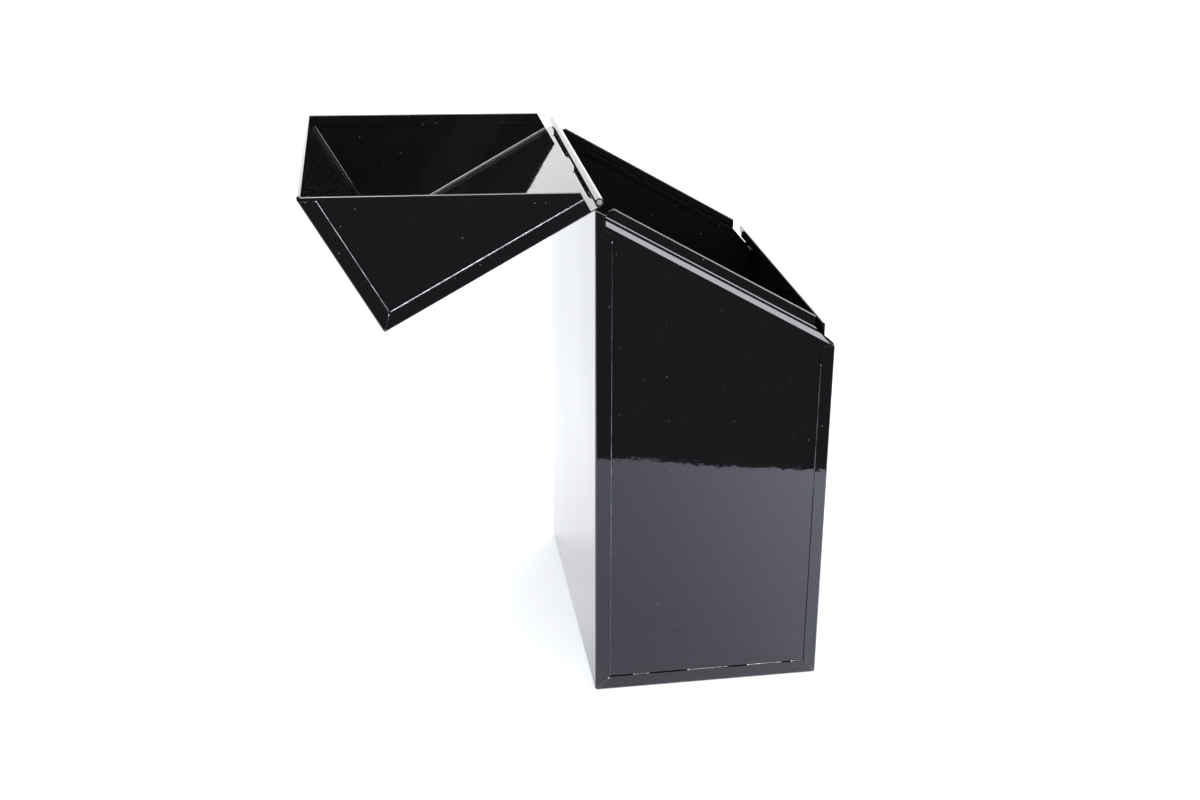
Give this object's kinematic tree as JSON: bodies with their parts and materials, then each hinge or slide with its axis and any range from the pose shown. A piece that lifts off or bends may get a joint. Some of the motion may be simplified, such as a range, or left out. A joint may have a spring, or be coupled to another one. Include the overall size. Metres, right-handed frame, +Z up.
{
  "type": "firelighter tidy",
  "caption": "Black enamelled sheet-steel box with a slanted mouth and a wedge-shaped lid on a long hinge, for keeping firelighters by a stove.",
  "frame": {"origin": "centre of the box's base, on the surface that it stands on", "axes": "+Z up, -Y towards the low front, +X to the right as seen from the front; the hinge runs along X at the back"},
  "size_m": [0.2, 0.2837, 0.3029],
  "materials": {
    "enamel": "black gloss enamel",
    "plating": "bright plated"
  },
  "bodies": {
    "box": {"box_wrap": "enamel", "box_left_side": "enamel", "box_right_side": "enamel", "hinge_pin": "plating"},
    "lid": {"lid_wrap": "enamel", "lid_left_side": "enamel", "lid_right_side": "enamel"}
  },
  "joints": [
    {"name": "lid_hinge", "type": "hinge", "parent": "box", "child": "lid", "pos_m": [0, 0.0641, 0.29402], "axis": [1, 0, 0], "range_deg": [0, 208.8]}
  ]
}
